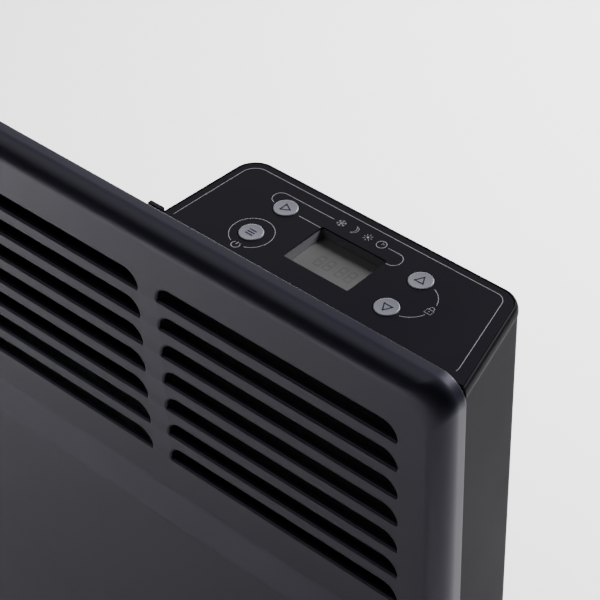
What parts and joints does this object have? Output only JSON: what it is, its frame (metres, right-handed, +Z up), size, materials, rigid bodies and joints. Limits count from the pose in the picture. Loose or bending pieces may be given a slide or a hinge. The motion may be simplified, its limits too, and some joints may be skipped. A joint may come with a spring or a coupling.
{
  "type": "panel convector heater",
  "caption": "Electric panel convector heater: louvred pressed steel front, folded rear casing, corner control box with push buttons and display, floor feet.",
  "frame": {"origin": "on the floor, under the centre of the heater's bounding box", "axes": "+X to the right seen from the front, +Y to the back, +Z up"},
  "size_m": [0.64, 0.19, 0.44],
  "materials": {
    "panel_paint": "satin charcoal stove enamel on pressed steel",
    "casing_paint": "satin charcoal powder coat on folded steel",
    "bare_steel": "zinc plated sheet steel",
    "housing_plastic": "fine matte moulded plastic",
    "label_film": "smooth semi-gloss printed film",
    "lcd_glass": "grey unlit liquid crystal display",
    "button_plastic": "satin lilac grey plastic",
    "component_black": "moulded component housing",
    "circuit_board": "green solder mask",
    "component_pale": "pale nylon",
    "aluminium": "mill finish extrusion",
    "rod_steel": "stainless sheath",
    "ceramic": "unglazed ceramic",
    "rubber": "matte black rubber",
    "wire_sleeve": "braided silicone sleeve",
    "screw_steel": "zinc plated steel",
    "foot_plastic": "textured moulded plastic"
  },
  "bodies": {
    "body": {"front_panel": "panel_paint", "rear_casing": "casing_paint", "side_cheek_left": "casing_paint", "side_cheek_right": "casing_paint", "bottom_grille": "casing_paint", "control_bay": "casing_paint", "heat_shield": "bare_steel", "rear_shield": "bare_steel", "control_housing": "housing_plastic", "control_cap": "housing_plastic", "housing_base": "housing_plastic", "fascia_label": "label_film", "lcd_frame": "housing_plastic", "lcd_display": "lcd_glass", "switch_menu": "component_black", "switch_mode": "component_black", "switch_down": "component_black", "switch_up": "component_black", "control_board": "circuit_board", "power_board": "circuit_board", "relay": "component_black", "transformer": "component_pale", "capacitor": "aluminium", "triac_heatsink": "aluminium", "terminal_block": "component_pale", "ribbon_cable": "component_pale", "ntc_sensor": "component_black", "cable_gland": "rubber", "element_fins": "aluminium", "element_rod": "rod_steel", "element_bracket_left": "bare_steel", "element_bush_left": "ceramic", "element_terminal_left": "rod_steel", "foot_left": "foot_plastic", "foot_nut_plate_left": "bare_steel", "foot_pad_left_front": "rubber", "foot_pad_left_back": "rubber", "element_bracket_right": "bare_steel", "element_bush_right": "ceramic", "element_terminal_right": "rod_steel", "foot_right": "foot_plastic", "foot_nut_plate_right": "bare_steel", "foot_pad_right_front": "rubber", "foot_pad_right_back": "rubber", "thermal_cutout": "component_black", "tilt_switch": "component_black", "element_wire_live": "wire_sleeve", "element_wire_neutral": "wire_sleeve", "foot_screw_left": "screw_steel", "foot_screw_right": "screw_steel", "panel_screw_1": "screw_steel", "panel_screw_2": "screw_steel", "panel_screw_3": "screw_steel", "ear_screw_1": "screw_steel", "ear_screw_2": "screw_steel"},
    "key_menu": {"button_menu": "button_plastic"},
    "key_mode": {"button_mode": "button_plastic"},
    "key_down": {"button_down": "button_plastic"},
    "key_up": {"button_up": "button_plastic"}
  },
  "joints": [
    {"name": "key_menu_press", "type": "slide", "parent": "body", "child": "key_menu", "axis": [0, 0, -1], "range_m": [0, 0.0008], "stiffness_N_per_m": 400, "springref_m": -0.0005},
    {"name": "key_mode_press", "type": "slide", "parent": "body", "child": "key_mode", "axis": [0, 0, -1], "range_m": [0, 0.0008], "stiffness_N_per_m": 400, "springref_m": -0.0005},
    {"name": "key_down_press", "type": "slide", "parent": "body", "child": "key_down", "axis": [0, 0, -1], "range_m": [0, 0.0008], "stiffness_N_per_m": 400, "springref_m": -0.0005},
    {"name": "key_up_press", "type": "slide", "parent": "body", "child": "key_up", "axis": [0, 0, -1], "range_m": [0, 0.0008], "stiffness_N_per_m": 400, "springref_m": -0.0005}
  ]
}
